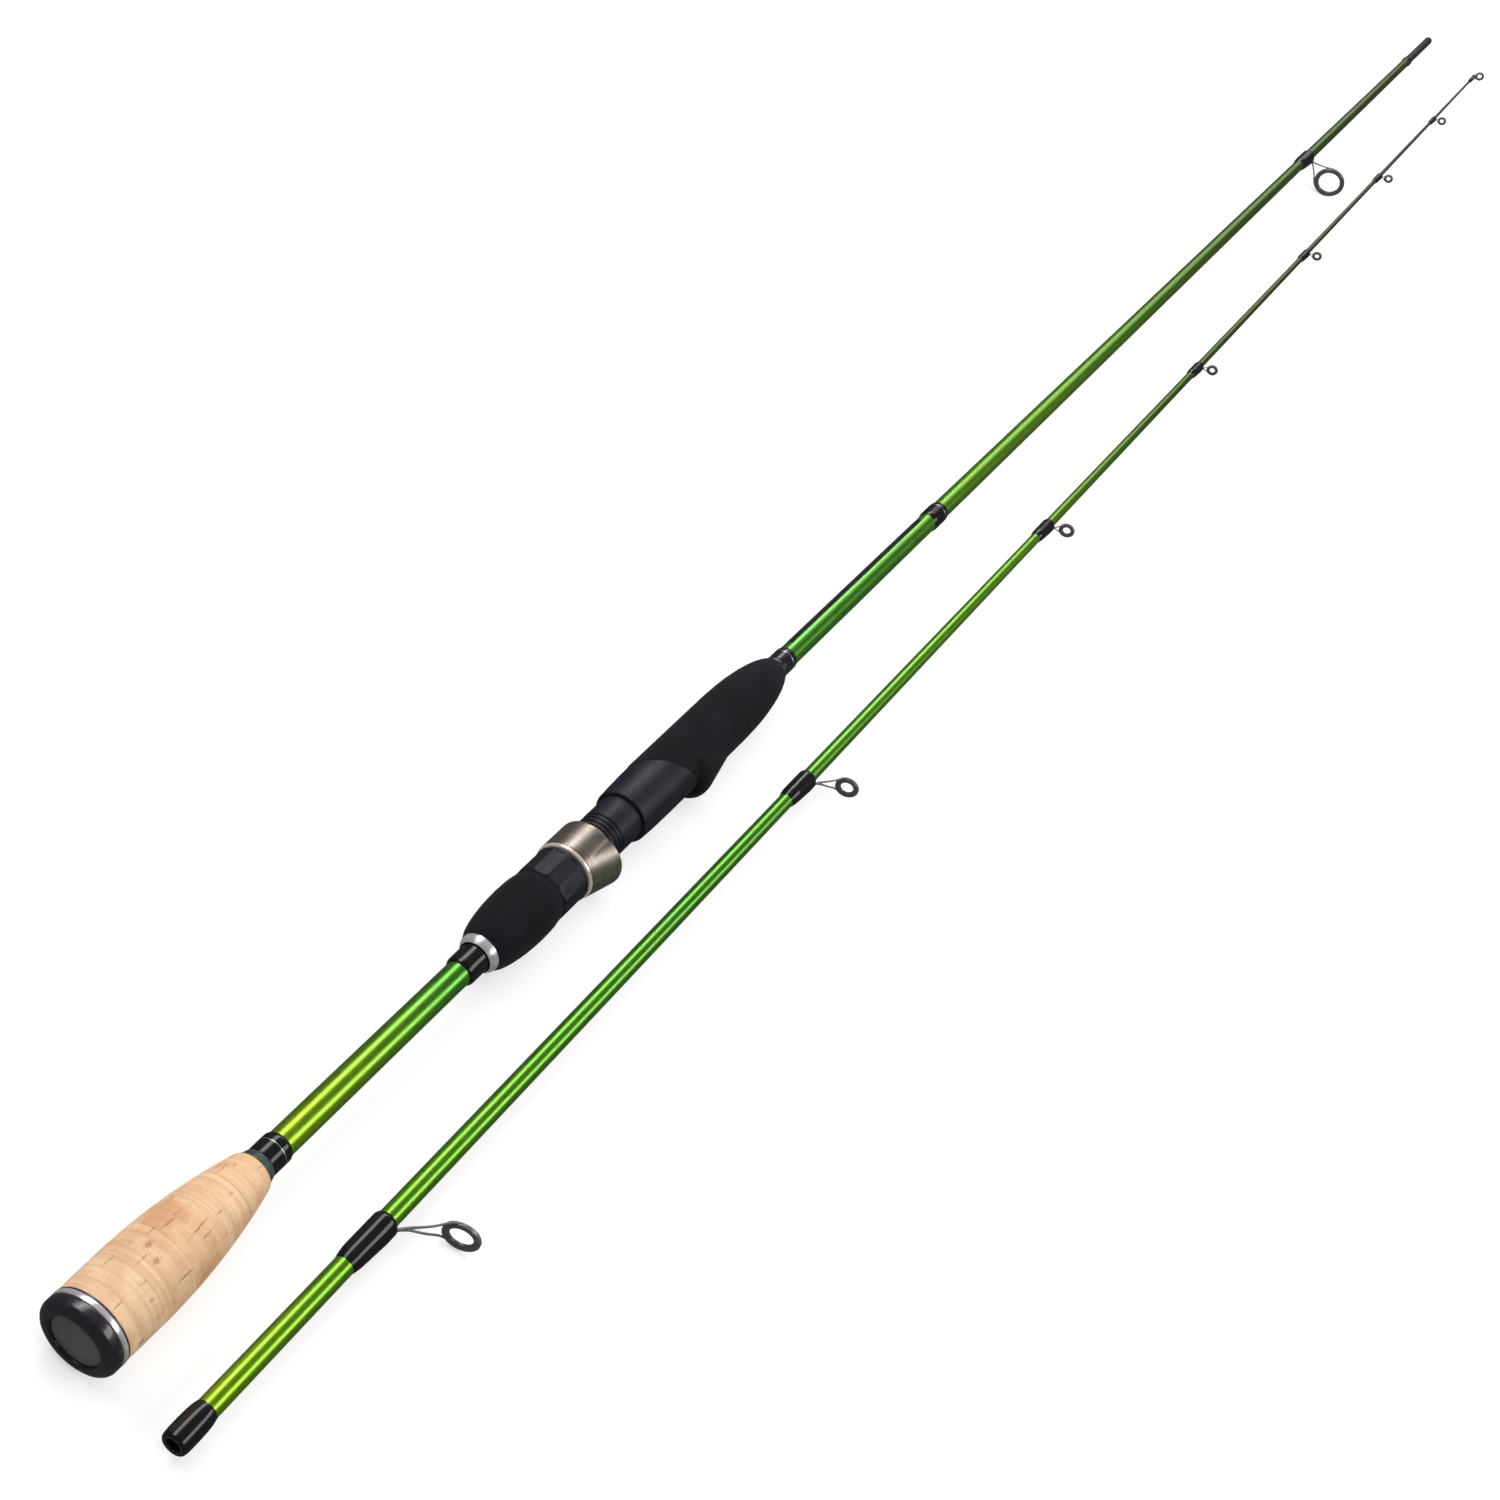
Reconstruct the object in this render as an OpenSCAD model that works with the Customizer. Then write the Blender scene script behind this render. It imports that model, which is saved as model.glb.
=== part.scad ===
// Two-section spinning rod, taken apart: the butt section with its split grip and reel seat, and the
// tip section with its running guides, lie side by side. X runs along both sections from the butt cap
// towards the tips, Z is up, and the origin lies under the middle of the whole layout.
// Each section is drawn along its own axis with the reel side down, then rolled until its largest
// guide ring touches the surface that the rod lies on.

/* [Sections] */
// Length of the butt section, cap to spigot end
butt_len = 1235; // [1100:5:1400]
// Length of the tip section, sleeve mouth to the middle of the tip-top ring
tip_len = 1255; // [1100:5:1400]
// Distance between the two section axes
section_gap = 36.6; // [34:0.1:80]
// Height of the tip section's axis over the surface
tip_axis_z = 7.4; // [7:0.1:9]

/* [Blanks] */
// Outer diameter of the butt blank through the handle
butt_blank_d = 9.3; // [9:0.1:9.8]
// Outer diameter of the butt blank at the front of the foregrip
mid_blank_d = 8.4; // [8:0.1:8.8]
// Outer diameter of the butt blank at the spigot
end_blank_d = 5; // [4.8:0.1:5.4]
// Outer diameter of the tip blank at the ferrule mouth
tip_blank_d = 7.1; // [7:0.1:7.6]
// Outer diameter of the tip blank at its thin end
tip_end_d = 1.3; // [1.2:0.1:1.6]
// Wall thickness of the butt blank
butt_wall = 1.1; // [0.8:0.1:1.3]

/* [Ferrule] */
// Diameter of the spigot
spigot_d = 4.8; // [4.6:0.1:5]
// Length of spigot that shows
spigot_len = 46; // [36:1:55]
// Length of spigot glued into the butt blank
spigot_root = 40; // [30:1:60]
// Clearance between spigot and ferrule bore, on the diameter
ferrule_fit = 0.1; // [0.04:0.02:0.2]
// Depth of the ferrule bore
ferrule_depth = 52; // [48:1:70]
// Outer diameter of the reinforcing sleeve
sleeve_d = 8.6; // [8.2:0.1:9]
// Length of the reinforcing sleeve
sleeve_len = 13.5; // [12:0.5:20]

/* [Butt grip] */
// Largest radius of the cork grip
cork_r = 13.15; // [13.1:0.05:13.2]
// Radius of the butt cap
cap_r = 13.1; // [13:0.05:13.15]
// Length of the butt cap
cap_len = 5; // [5:0.5:8]
// Width of the polished trim ring
trim_w = 2; // [1.4:0.1:2.2]
// Front end of the cork grip
cork_front = 72; // [68:1:76]
// Number of cork rings
cork_rings = 5; // [4:1:6]

/* [Reel seat] */
// Outer diameter of the threaded barrel
barrel_d = 17.5; // [17:0.1:18]
// Bore of the reel seat, filled by the arbors
seat_bore = 12; // [11:0.1:12.6]
// Outer radius of the moulded seat body
seat_r = 10.8; // [10.6:0.1:11]
// Pitch of the barrel thread
thread_pitch = 2; // [1.5:0.25:2.5]
// Travel of the moving hood
hood_travel = 16; // [12:1:16]
// Running clearance of nut and hood on the barrel, on the radius
running_fit = 0.05; // [0.03:0.01:0.1]
// Offset of both foot pockets from the rod axis, towards the reel
hood_offset = 5.4; // [5.2:0.1:5.5]
// Radius of the moving hood's skirt about its own offset axis
hood_skirt_r = 11; // [10.9:0.1:11.2]

/* [Guides] */
// Outer radius of the stripper guide's ring
stripper_r = 8.5; // [8:0.1:9]
// Height of the stripper ring's middle over the rod axis
stripper_rise = 19; // [18:0.5:21]
// Lean of every ring towards the tip, in degrees
ring_lean = 12; // [6:1:18]

/* [Hidden] */

$fn = 48;

// stations along the butt section
trim_x = cap_len;
cork_x = trim_x + trim_w;
cork_swell_x = 22;
cork_drop = 6.25;
cork_check_x = cork_front + 3;
cork_wrap_end = 84;
taper_x = 100;
rear_wrap_x = 171;
grip_x = 180;
cavity_x = 195.5;
nut_x = 216;
nut_front = 229.9;
hood_x = 231.4;
hood_front = 246;
barrel_x = 214;
lip_x = 266;
cut_x = 293;
cut_tilt = 36;
fixed_hood_x = 301;
hood_skirt_offset = 3.2;
hump_offset = 3.4;
seat_front = 345;
foregrip_front = 373;
check_front = 375;
front_wrap_end = 384;
mid_x = 400;
ring_wrap_x = 504;
stripper_x = 995;
blank_end = butt_len - spigot_len;

// Radii of both blanks: straight tapers between a few stations.
butt_stations = [[0, butt_blank_d / 2], [taper_x, butt_blank_d / 2], [mid_x, mid_blank_d / 2],
                 [blank_end, end_blank_d / 2]];
tip_stations = [[0, tip_blank_d / 2], [290, 2.95], [540, 2.25], [790, 1.7],
                [tip_len - 6, tip_end_d / 2]];
function butt_r(x) = lookup(x, butt_stations);
function tip_r(x) = lookup(x, tip_stations);

// The cork swells to its largest radius and then falls away as a parabola.
function cork_at(x) = x < cork_swell_x ? lookup(x, [[cork_x, cork_r - 0.15], [cork_swell_x, cork_r]])
    : cork_r - cork_drop * pow((x - cork_swell_x) / (cork_front - cork_swell_x), 2);

// Running guides: stem exit, ring reach forward, ring rise, ring radius, insert wall, wire diameter.
guides = [[91, 14, 19, 6.3, 2, 1.2],
          [346, 11, 13, 4.6, 1.8, 1],
          [566, 6, 7.6, 3.5, 1.4, 0.8],
          [750, 5.5, 6.2, 2.8, 1.1, 0.7],
          [914, 5, 5.4, 2.6, 1, 0.6],
          [1046, 4.8, 4.9, 2.6, 1, 0.6],
          [1158, 4.6, 4.6, 2.6, 1, 0.6]];
stripper = [stripper_x, 1, stripper_rise, stripper_r, 2.2, 1.2];
wrap_lens = [19, 16, 14, 12.5, 11.5, 11, 10.5];
stripper_wrap_len = 17;
band_w = 0.45;
foot_len = 10;
foot_t = 0.6;

// Each section's roll brings its largest ring down to the surface.
butt_axis_z = max(cap_r, cork_r);
butt_dip = asin((butt_axis_z - stripper_r) / stripper_rise);
tip_dip = asin((tip_axis_z - guides[0][3]) / guides[0][2]);
butt_roll = butt_dip - 90;
tip_roll = tip_dip - 90;

// Tip-top: tube end, reach, rise, ring radius, insert wall, wire diameter.
top_g = [tip_len - 5.5, 5.5, 2.6, 2.8, 1.1, 0.7];
ring_reach = guides[0][2] * cos(tip_dip) + guides[0][3] * cos(ring_lean) + 0.12;
middle_x = (tip_len + top_g[3] * sin(ring_lean) + 0.49) / 2;
middle_y = (butt_axis_z - section_gap - ring_reach) / 2;

// ---------------------------------------------------------------- shared shapes

module place_butt() {
    translate([-middle_x, -middle_y, butt_axis_z]) rotate([butt_roll, 0, 0]) children();
}

module place_tip() {
    translate([-middle_x, -middle_y - section_gap, tip_axis_z]) rotate([tip_roll, 0, 0]) children();
}

// Turned shape about the section axis: points are [x, radius].
module turned(points) {
    rotate([0, 90, 0]) rotate_extrude($fn = 64) polygon([for (p = points) [p[1], p[0]]]);
}

module rod_x(r, x0, x1) {
    translate([x0, 0, 0]) rotate([0, 90, 0]) cylinder(r = r, h = x1 - x0);
}

// Thread wrap under epoxy: a low barrel on a blank, its ends run out to the blank.
module wrap_on(x0, x1, r0, r1, build) {
    run_out = min(3, (x1 - x0) / 4);
    turned([[x0, r0], [x0 + run_out * 0.4, r0 + build * 0.55], [x0 + run_out, r0 + build * 0.9],
            [(x0 + x1) / 2, (r0 + r1) / 2 + build], [x1 - run_out, r1 + build * 0.95],
            [x1 - run_out * 0.4, r1 + build * 0.7], [x1, r1 + 0.05], [x1, r1]]);
}

// Everything on the reel side of the section, further out than a given radius.
module reel_side(r_min, x0, x1) {
    translate([x0, -20, -20]) cube([x1 - x0, 40, 20 - r_min]);
}

// ---------------------------------------------------------------- butt grip

module butt_cap() {
    color("#17171b") place_butt() difference() {
        turned([[0, 0], [0, cap_r - 2.6], [0.5, cap_r - 1.2], [1.6, cap_r - 0.3], [3, cap_r],
                [cap_len, cap_r], [cap_len, 0]]);
        rod_x(cap_r - 4.4, -1, 1.8);
        rod_x(butt_r(0), 4, cap_len + 1);
    }
}

module cap_disc() {
    disc_r = cap_r - 4.4;
    color("#3a3a3e") place_butt()
        turned([[0.9, 0], [0.9, disc_r - 0.4], [1.1, disc_r], [1.8, disc_r], [1.8, 0]]);
}

module cap_trim_ring() {
    color("#c9cace") place_butt() turned([[trim_x, butt_r(0)], [trim_x, cap_r - 0.3], [trim_x + 0.4, cap_r],
                                         [cork_x - 0.4, cap_r], [cork_x, cap_r - 0.3], [cork_x, butt_r(0)]]);
}

module cork_ring(i) {
    pitch = (cork_front - cork_x) / cork_rings;
    x0 = cork_x + (i - 1) * pitch;
    x1 = x0 + pitch;
    steps = 6;
    color("#d9b488") place_butt()
        turned(concat([[x0, butt_r(0)]],
                      [for (k = [0:steps]) [x0 + (x1 - x0) * k / steps, cork_at(x0 + (x1 - x0) * k / steps)]],
                      [[x1, butt_r(0)]]));
}

module cork_check() {
    color("#3c4642") place_butt() turned([[cork_front, butt_r(0)], [cork_front, 5.9], [cork_front + 0.6, 6.1],
                                         [cork_check_x - 0.6, 5.6], [cork_check_x, 5.3],
                                         [cork_check_x, butt_r(0)]]);
}

module cork_wrap() {
    color("#141414") place_butt() wrap_on(cork_check_x, cork_wrap_end, butt_r(0), butt_r(0), 0.6);
}

// ---------------------------------------------------------------- blanks and ferrule

module butt_blank() {
    start_x = 4;
    bore = [for (s = butt_stations) [s[0], s[1] - butt_wall]];
    color("#4caf1e") place_butt() difference() {
        turned([[start_x, 0], [start_x, butt_r(0)], [taper_x, butt_r(taper_x)], [mid_x, butt_r(mid_x)],
                [blank_end, butt_r(blank_end)], [blank_end, 0]]);
        turned([[start_x - 1, 0], [start_x - 1, bore[0][1]], [taper_x, bore[1][1]], [mid_x, bore[2][1]],
                [blank_end + 1, bore[3][1]], [blank_end + 1, 0]]);
    }
}

module spigot() {
    plug_r = end_blank_d / 2 - butt_wall;
    color("#1b1d1b") place_butt() turned([[blank_end - spigot_root, 0], [blank_end - spigot_root, plug_r],
                                         [blank_end, plug_r], [blank_end, spigot_d / 2],
                                         [butt_len - 1, spigot_d / 2], [butt_len - 0.3, spigot_d / 2 - 0.5],
                                         [butt_len, spigot_d / 2 - 1.2], [butt_len, 0]]);
}

module spigot_stop_wrap() {
    x0 = blank_end - 5;
    color("#161616") place_butt() wrap_on(x0, blank_end, butt_r(x0), butt_r(blank_end), 0.35);
}

module tip_blank() {
    bore_r = (spigot_d + ferrule_fit) / 2;
    thin_x = 900;
    color("#3f7d1c") place_tip() difference() {
        turned(concat([[0, 0]], [for (s = tip_stations) s], [[tip_len - 6, 0]]));
        rod_x(bore_r, -1, ferrule_depth);
        turned([[ferrule_depth - 1, 0], [ferrule_depth - 1, bore_r - 0.2], [290, 2.1], [540, 1.45],
                [thin_x, 0.6], [thin_x, 0]]);
    }
}

module ferrule_sleeve() {
    r = tip_blank_d / 2;
    color("#151515") place_tip() difference() {
        turned([[0.1, r - 0.1], [0, sleeve_d / 2 - 0.6], [1.2, sleeve_d / 2 - 0.15], [4, sleeve_d / 2],
                [9, sleeve_d / 2 - 0.1], [12, sleeve_d / 2 - 0.35], [sleeve_len, tip_r(sleeve_len) + 0.05],
                [sleeve_len, tip_r(sleeve_len) - 1]]);
        turned([[-1, 0], [-1, r], [0, r], [290, tip_stations[1][1]], [290, 0]]);
    }
}

// ---------------------------------------------------------------- rear foam grip and lock nut

module rear_wrap() {
    x1 = grip_x + 2;
    color("#141414") place_butt() wrap_on(rear_wrap_x, x1, butt_r(rear_wrap_x), butt_r(x1), 0.75);
}

module rear_grip_cone() {
    bore_r = butt_r(grip_x) + 1.2;
    color("#d4d4d8") place_butt() turned([[grip_x, bore_r], [grip_x, bore_r + 0.25], [grip_x + 1, 6.4],
                                         [grip_x + 2.4, 7.1], [grip_x + 3, 7.1], [grip_x + 3, bore_r]]);
}

module rear_foam_grip() {
    x0 = grip_x + 3;
    sleeve_r = barrel_d / 2 + 0.95;
    color("#161619") place_butt() difference() {
        turned([[x0, butt_r(x0) + 0.4], [x0, 7.2], [x0 + 3, 8.75], [x0 + 9, 10.1], [x0 + 15, 10.7],
                [x0 + 21, 11], [x0 + 26, 10.9], [x0 + 30, 10.55], [nut_x - 0.6, 10], [nut_x, 9.9],
                [nut_x, butt_r(x0) + 0.4]]);
        rod_x(sleeve_r, cavity_x - 1, nut_x + 1);
    }
}

// The nut's sleeve reaches back under the foam; its bore runs on the barrel.
module lock_nut() {
    sleeve_r = barrel_d / 2 + 0.95;
    across = 20.6;
    color("#23242c") place_butt() difference() {
        union() {
            rod_x(sleeve_r, cavity_x - 1, nut_x + 1);
            intersection() {
                translate([nut_x, 0, 0]) rotate([0, 90, 0]) rotate([0, 0, 15])
                    cylinder(d = across / cos(15), h = nut_front - nut_x, $fn = 12);
                turned([[nut_x, 0], [nut_x, 10], [nut_x + 0.8, 10.55], [nut_front - 0.5, 10.55],
                        [nut_front, 10.3], [nut_front, 0]]);
            }
        }
        rod_x(barrel_d / 2 + running_fit, cavity_x, nut_front + 1);
        rod_x(butt_r(grip_x) + 0.4, cavity_x - 2, nut_front);
    }
}

// ---------------------------------------------------------------- hoods

module slip_ring() {
    x0 = nut_front + 0.3;
    bore_r = barrel_d / 2 + running_fit;
    color("#cfc6b4") place_butt() turned([[x0, bore_r], [x0, 10.6], [x0 + 0.4, 11.05], [hood_x - 0.1, 11.05],
                                         [hood_x, 10.9], [hood_x, bore_r]]);
}

// The hood's outside: a round shell with a skirt that flares towards its mouth.
module hood_outside() {
    turned([[hood_x, 0], [hood_x, 10.9], [hood_x + 1, 11.1], [hood_front - 0.8, 11.1], [hood_front, 10.7],
            [hood_front, 0]]);
    translate([0, 0, -hood_skirt_offset])
        turned([[hood_x, 0], [hood_x, hood_skirt_r - 3.4], [hood_front - 3, hood_skirt_r],
                [hood_front - 1, hood_skirt_r - 0.2], [hood_front, hood_skirt_r - 0.8], [hood_front, 0]]);
}

// Space for the end of a reel foot: turned about the offset axis, kept on the reel side only.
module foot_space(points, r_min) {
    intersection() {
        translate([0, 0, -hood_offset]) turned(points);
        reel_side(r_min, points[0][0], points[len(points) - 1][0]);
    }
}

module hood_pocket(x1) {
    x0 = hood_x + 4;
    foot_space([[x0, 0], [x0, 5.6], [hood_front - 3, 7.6], [x1, 7.6], [x1, 0]], 10);
}

module moving_hood() {
    color("#8d8370") place_butt() {
        difference() {
            hood_outside();
            rod_x(barrel_d / 2 + running_fit, hood_x - 1, hood_front + 1);
            hood_pocket(hood_front + 1);
        }
        translate([hood_x + 1, -0.9, barrel_d / 2 - 0.8]) cube([8, 1.8, 1.2]);
    }
}

module hood_cushion() {
    x0 = hood_x + 4.8;
    color("#1c1c1f") place_butt() difference() {
        hood_pocket(hood_front - 0.8);
        translate([0, 0, -hood_offset])
            turned([[x0, 0], [x0, 5], [hood_front - 3, 6.9], [hood_front, 6.9], [hood_front, 0]]);
    }
}

// ---------------------------------------------------------------- reel seat

// Half-space ahead of the oblique plane where the foam foregrip begins.
module ahead_of_cut() {
    translate([cut_x, 0, 0]) rotate([0, -cut_tilt, 0]) translate([0, -30, -60]) cube([140, 60, 120]);
}

// The seat's moulded shell, from its lip to the oblique line.
module seat_shell() {
    difference() {
        turned([[lip_x, 0], [lip_x, 9.7], [lip_x + 0.5, 10], [lip_x + 6, 10.4], [lip_x + 14, 10.7],
                [lip_x + 30, seat_r], [lip_x + 40, seat_r], [lip_x + 40, 0]]);
        ahead_of_cut();
    }
}

module reel_seat_body() {
    core_r = seat_r - 2.2;
    color("#20212a") place_butt() difference() {
        union() {
            rod_x(core_r, lip_x - 1, seat_front);
            turned([[barrel_x, 0], [barrel_x, barrel_d / 2 - 0.4], [barrel_x + 0.6, barrel_d / 2],
                    [lip_x + 1, barrel_d / 2], [lip_x + 1, 0]]);
            seat_shell();
        }
        rod_x(seat_bore / 2, barrel_x - 1, seat_front + 1);
        for (k = [0:11]) thread_groove(barrel_x + 17 + k * thread_pitch);
        translate([nut_x, -1.2, barrel_d / 2 - 1.1]) cube([lip_x - nut_x - 0.5, 2.4, 3]);
        reel_side(seat_r - 0.5, lip_x - 1, lip_x + 60);
        fixed_hood_space();
    }
}

module thread_groove(x) {
    translate([x, 0, 0]) turned([[-0.5, barrel_d / 2 + 0.5], [-0.5, barrel_d / 2], [0, barrel_d / 2 - 0.5],
                                 [0.5, barrel_d / 2], [0.5, barrel_d / 2 + 0.5]]);
}

module rear_arbor() {
    x1 = barrel_x + 40;
    color("#2b2b2b") place_butt() turned([[barrel_x, butt_r(barrel_x)], [barrel_x, seat_bore / 2],
                                         [x1, seat_bore / 2], [x1, butt_r(x1)]]);
}

module front_arbor() {
    x0 = seat_front - 50;
    color("#2b2b2b") place_butt() turned([[x0, butt_r(x0)], [x0, seat_bore / 2], [seat_front, seat_bore / 2],
                                         [seat_front, butt_r(seat_front)]]);
}

// The space of the fixed hood, a shell set into the seat and roofed by the foam hump.
module fixed_hood_space() {
    x0 = fixed_hood_x + 1.5;
    x1 = fixed_hood_x + 11;
    foot_space([[x0, 0], [x0, 8.3], [x1, 7.3], [x1, 0]], 9);
}

module fixed_hood_mouth(x0) {
    x1 = fixed_hood_x + 9.5;
    foot_space([[x0, 0], [x0, 7.6], [fixed_hood_x + 2, 7.6], [x1, 6.7], [x1, 0]], 10);
}

module fixed_hood() {
    color("#26272e") place_butt() difference() {
        fixed_hood_space();
        fixed_hood_mouth(fixed_hood_x);
    }
}

// The foam's outside, with a hump over the fixed hood: steep behind, sloped in front.
module foregrip_outside() {
    turned([[270, 0], [270, 10.9], [300, 11], [336, 11], [345, 10.75], [353, 10.15], [359, 9.4], [364, 8.5],
            [368, 7.5], [371, 6.5], [foregrip_front, 5.4], [foregrip_front, 0]]);
    translate([0, 0, -hump_offset])
        turned([[300, 0], [300, 8.9], [fixed_hood_x, 10], [302.5, 10.8], [304, 11], [306, 10.9], [325, 7.3],
                [328, 7], [328, 0]]);
}

module foregrip() {
    core_r = seat_r - 2.2;
    color("#17171b") place_butt() difference() {
        intersection() {
            foregrip_outside();
            union() {
                ahead_of_cut();
                reel_side(0, fixed_hood_x - 2, fixed_hood_x + 30);
            }
        }
        seat_shell();
        rod_x(core_r, 200, seat_front);
        turned([[200, 0], [200, butt_r(200)], [mid_x, butt_r(mid_x)], [mid_x, 0]]);
        fixed_hood_space();
        fixed_hood_mouth(fixed_hood_x - 5);
    }
}

module front_check() {
    color("#c4c4c8") place_butt() turned([[foregrip_front, butt_r(foregrip_front)], [foregrip_front, 5.15],
                                         [foregrip_front + 0.4, 5.3], [check_front - 0.6, 5.1],
                                         [check_front, 4.8], [check_front, butt_r(check_front)]]);
}

module front_wrap() {
    color("#121216") place_butt() wrap_on(check_front, front_wrap_end, butt_r(check_front),
                                          butt_r(front_wrap_end), 0.45);
}

module ring_wrap() {
    color("#141414") place_butt() wrap_on(ring_wrap_x, ring_wrap_x + 12, butt_r(ring_wrap_x),
                                          butt_r(ring_wrap_x + 12), 0.55);
}

// ---------------------------------------------------------------- guides
// A guide is [exit x, reach, rise, ring radius, insert wall, wire diameter], drawn reel side down.

module at_ring(g) {
    translate([g[0] + g[1], 0, -g[2]]) rotate([0, -ring_lean, 0]) children();
}

function ring_t(g) = 0.9 + g[3] * 0.16;

module ring_insert(g) {
    r = g[3] - band_w;
    t = ring_t(g);
    at_ring(g) turned([[-t / 2 + 0.25, r], [t / 2 - 0.25, r], [t / 2, r - 0.3], [t / 2, r - g[4] * 0.45],
                       [t * 0.3, r - g[4] * 0.85], [t * 0.15, r - g[4]], [-t * 0.15, r - g[4]],
                       [-t * 0.3, r - g[4] * 0.85],
                       [-t / 2, r - g[4] * 0.45], [-t / 2, r - 0.3]]);
}

module guide_foot(g, r_blank) {
    translate([g[0] - foot_len, -g[5] * 0.8, -r_blank - foot_t]) cube([foot_len, g[5] * 1.6, foot_t]);
}

// Leg of a stamped frame: a flat strip that forks into two arms, rising from one point to another.
module forked_leg(p, q, fork, w, t) {
    rise = p[2] - q[2];
    len_l = norm([q[0] - p[0], rise]);
    arm = q[1];
    f = len_l * fork;
    translate([p[0], 0, p[2]]) rotate([0, atan2(rise, q[0] - p[0]), 0]) translate([0, 0, -t / 2])
        linear_extrude(t) polygon([[-0.4, -w / 2], [f, -w / 2], [len_l, -arm - w * 0.35],
                                   [len_l, -arm + w * 0.35], [f + w, 0], [len_l, arm - w * 0.35],
                                   [len_l, arm + w * 0.35], [f, w / 2], [-0.4, w / 2]]);
}

// Stamped frame: foot under the wrap, forked leg, band round the insert.
module guide_frame(g, r_blank) {
    d = g[5];
    t = ring_t(g) * 0.62;
    grip = g[3] - band_w / 2;
    side = 62;
    exit_p = [g[0] - 0.2, 0, -r_blank - foot_t / 2];
    arm_p = [g[0] + g[1] - grip * cos(side) * sin(ring_lean), grip * sin(side),
             -g[2] + grip * cos(side) * cos(ring_lean)];
    guide_foot(g, r_blank);
    difference() {
        union() {
            forked_leg(exit_p, arm_p, 0.28, d, d * 0.6);
            at_ring(g) rod_x(g[3], -t / 2, t / 2);
        }
        at_ring(g) rod_x(g[3] - band_w, -4, 4);
    }
}

module guide_wrap(g, wrap_len, r0, r1, r_foot) {
    difference() {
        wrap_on(g[0] - wrap_len, g[0] + 1, r0, r1, 0.75);
        guide_foot(g, r_foot);
        translate([g[0] - 0.8, -g[5], -20]) cube([3, g[5] * 2, 20]);
    }
}

module stripper_frame() {
    color("#9a9a98") place_butt() guide_frame(stripper, butt_r(stripper_x - foot_len));
}

module stripper_ring() {
    color("#33343a") place_butt() ring_insert(stripper);
}

module stripper_wrap() {
    x0 = stripper_x - stripper_wrap_len;
    r_foot = butt_r(stripper_x - foot_len);
    color("#1a1a1a") place_butt()
        guide_wrap(stripper, stripper_wrap_len, butt_r(x0), butt_r(stripper_x + 1), r_foot);
}

module running_frame(i) {
    g = guides[i - 1];
    color("#a09c94") place_tip() guide_frame(g, tip_r(g[0] - foot_len));
}

module running_ring(i) {
    color("#2e2c2e") place_tip() ring_insert(guides[i - 1]);
}

module running_wrap(i) {
    g = guides[i - 1];
    wrap_len = wrap_lens[i - 1];
    color("#101012") place_tip()
        guide_wrap(g, wrap_len, tip_r(g[0] - wrap_len), tip_r(g[0] + 1), tip_r(g[0] - foot_len));
}

// ---------------------------------------------------------------- tip-top

module tip_top_tube() {
    color("#1a1a1a") place_tip() difference() {
        turned([[tip_len - 17, 0], [tip_len - 17, 1.05], [tip_len - 16.4, 1.25], [tip_len - 5.6, 1.25],
                [tip_len - 5, 1.1], [tip_len - 5, 0]]);
        turned([[0, 0], [0, tip_r(0)], [tip_len - 60, tip_r(tip_len - 60)], [tip_len - 6, tip_end_d / 2],
                [tip_len - 6, 0]]);
    }
}

module tip_top_frame() {
    t = top_g[5];
    drop = atan2(top_g[2] - 1, 13);
    color("#8f8f8f") place_tip() difference() {
        union() {
            for (s = [-1, 1])
                translate([tip_len - 13, 0, -0.4]) rotate([0, drop, 0]) translate([0, 0, -t / 2])
                    linear_extrude(t) polygon([[0, s * 0.9], [0, s * 1.7], [12.6, s * 2.7], [12.6, s * 2]]);
            at_ring(top_g) rod_x(top_g[3], -0.5, 0.5);
        }
        at_ring(top_g) rod_x(top_g[3] - band_w, -3, 3);
        rod_x(1.25, tip_len - 18, tip_len - 5);
    }
}

module tip_top_ring() {
    color("#2e2c2e") place_tip() ring_insert(top_g);
}

// ---------------------------------------------------------------- one line for each node

butt_cap();
cap_disc();
cap_trim_ring();
for (i = [1:cork_rings]) cork_ring(i);
cork_check();
cork_wrap();
butt_blank();
rear_wrap();
rear_grip_cone();
rear_foam_grip();
lock_nut();
slip_ring();
moving_hood();
hood_cushion();
reel_seat_body();
rear_arbor();
front_arbor();
fixed_hood();
foregrip();
front_check();
front_wrap();
ring_wrap();
stripper_frame();
stripper_ring();
stripper_wrap();
spigot();
spigot_stop_wrap();
tip_blank();
ferrule_sleeve();
for (i = [1:7]) running_frame(i);
for (i = [1:7]) running_ring(i);
for (i = [1:7]) running_wrap(i);
tip_top_tube();
tip_top_frame();
tip_top_ring();
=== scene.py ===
"""Two-section spinning rod, taken apart and laid side by side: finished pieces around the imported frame."""
import math
import random

import bpy
import numpy as np
from mathutils import Matrix, Vector


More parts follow.
